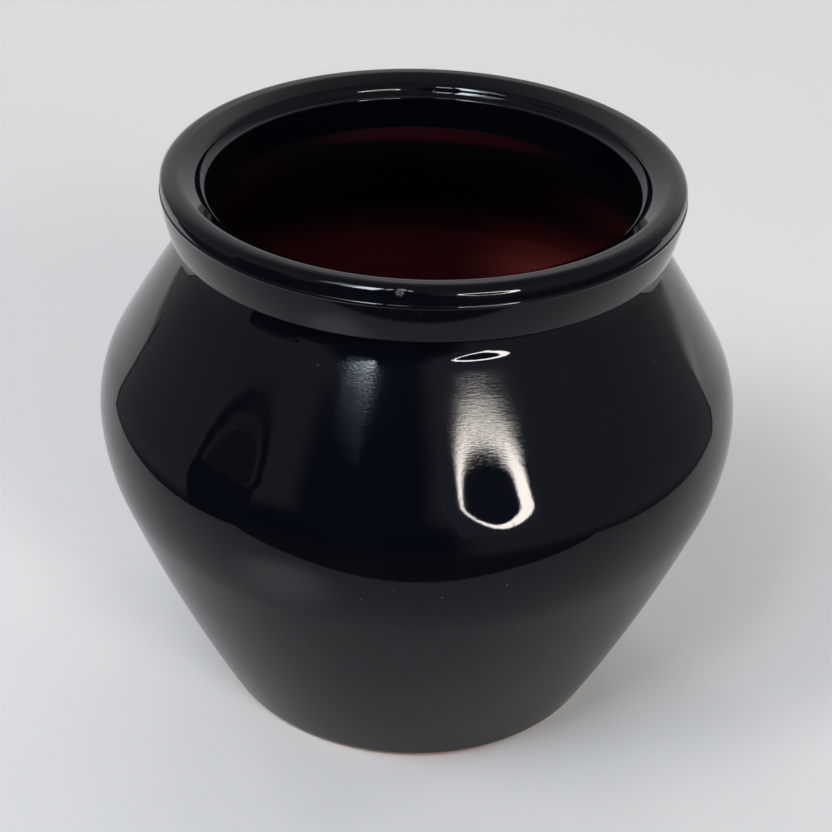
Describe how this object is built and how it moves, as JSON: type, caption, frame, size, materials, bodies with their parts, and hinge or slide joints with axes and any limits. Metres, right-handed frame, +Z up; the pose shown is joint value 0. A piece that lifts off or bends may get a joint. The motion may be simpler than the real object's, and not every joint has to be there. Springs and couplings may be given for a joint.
{
  "type": "clay pot",
  "caption": "Round-bellied pot turned from rings of clay, with a rolled rim over a short neck, glossy black outside and red-brown inside, for holding things.",
  "frame": {"origin": "centre of the foot, on the surface the pot stands on", "axes": "+Z up along the axis the pot was turned on; +X and +Y are any two directions across it"},
  "size_m": [0.14, 0.14, 0.1244],
  "materials": {
    "clay": "fired red clay, matt, bare only in a thin line round the foot",
    "black_glaze": "mirror gloss black with a faint blue cast and fine turning lines",
    "red_glaze": "gloss, dark red-brown low on the wall and on the floor, nearly black from the neck to under the mouth"
  },
  "bodies": {
    "root": {"floor_disc": "clay", "lower_wall": "clay", "belly_ring": "clay", "shoulder_ring": "clay", "neck_ring": "clay", "rim_roll": "clay", "black_body_glaze": "black_glaze", "black_rim_glaze": "black_glaze", "red_inner_glaze": "red_glaze"}
  },
  "joints": []
}
